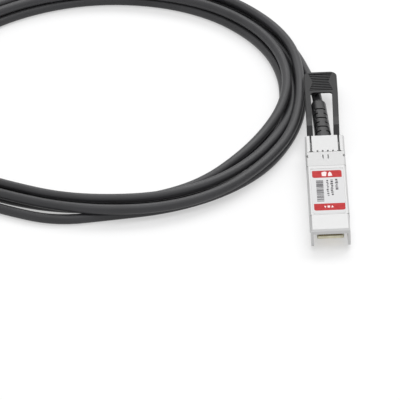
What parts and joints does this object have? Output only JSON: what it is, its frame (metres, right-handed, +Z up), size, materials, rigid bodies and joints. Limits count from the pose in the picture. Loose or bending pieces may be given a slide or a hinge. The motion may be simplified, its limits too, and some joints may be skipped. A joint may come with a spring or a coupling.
{
  "type": "direct attach copper cable",
  "caption": "Coiled twinaxial copper cable with a pluggable metal module and black pull tab on each end.",
  "frame": {"origin": "midway between the two modules, halfway along them from mouth to pull tab end, on the plane that they rest on", "axes": "+X from the far module to the near one, +Y from a module's mouth to its pull tab, +Z up"},
  "size_m": [0.1856, 0.1751, 0.0085],
  "materials": {
    "zinc_shell": "satin nickel plate on die-cast zinc",
    "zinc_cover": "satin nickel plate on die-cast zinc",
    "spring_sheet": "bright stamped spring sheet",
    "slider_steel": "plain stamped steel",
    "spring_wire": "drawn wire",
    "sticker": "white sticker with plain red bands and dark marks",
    "card": "glass-cloth laminate, satin",
    "gold": "gold plate",
    "chip_black": "matt moulding",
    "capacitor_tan": "matt ceramic",
    "pair_foil": "foil wrap",
    "ferrule_metal": "crimped sleeve",
    "jacket": "dark grey satin jacket",
    "boot_rubber": "satin black moulding",
    "tab_black": "satin black moulding"
  },
  "bodies": {
    "cable": {"near_base_shell": "zinc_shell", "near_top_cover": "zinc_cover", "near_label_sticker": "sticker", "near_emi_collar": "spring_sheet", "near_paddle_card": "card", "near_contact_pads": "gold", "near_memory_chip": "chip_black", "near_card_capacitors": "capacitor_tan", "near_signal_pairs": "pair_foil", "near_cable_end": "jacket", "near_crimp_ferrule": "ferrule_metal", "near_strain_relief": "boot_rubber", "near_return_spring": "spring_wire", "far_base_shell": "zinc_shell", "far_top_cover": "zinc_cover", "far_label_sticker": "sticker", "far_emi_collar": "spring_sheet", "far_paddle_card": "card", "far_contact_pads": "gold", "far_memory_chip": "chip_black", "far_card_capacitors": "capacitor_tan", "far_signal_pairs": "pair_foil", "far_cable_end": "jacket", "far_crimp_ferrule": "ferrule_metal", "far_strain_relief": "boot_rubber", "far_return_spring": "spring_wire", "cable_coil": "jacket", "near_lead": "jacket", "far_lead": "jacket"},
    "near_release": {"near_latch_slider": "slider_steel", "near_pull_tab": "tab_black"},
    "far_release": {"far_latch_slider": "slider_steel", "far_pull_tab": "tab_black"}
  },
  "joints": [
    {"name": "near_release_slide", "type": "slide", "parent": "cable", "child": "near_release", "axis": [0, 1, 0], "range_m": [0, 0.0022], "stiffness_N_per_m": 400, "springref_m": -0.0025, "deforming": ["near_return_spring"]},
    {"name": "far_release_slide", "type": "slide", "parent": "cable", "child": "far_release", "axis": [0, 1, 0], "range_m": [0, 0.0022], "stiffness_N_per_m": 400, "springref_m": -0.0025, "deforming": ["far_return_spring"]}
  ]
}
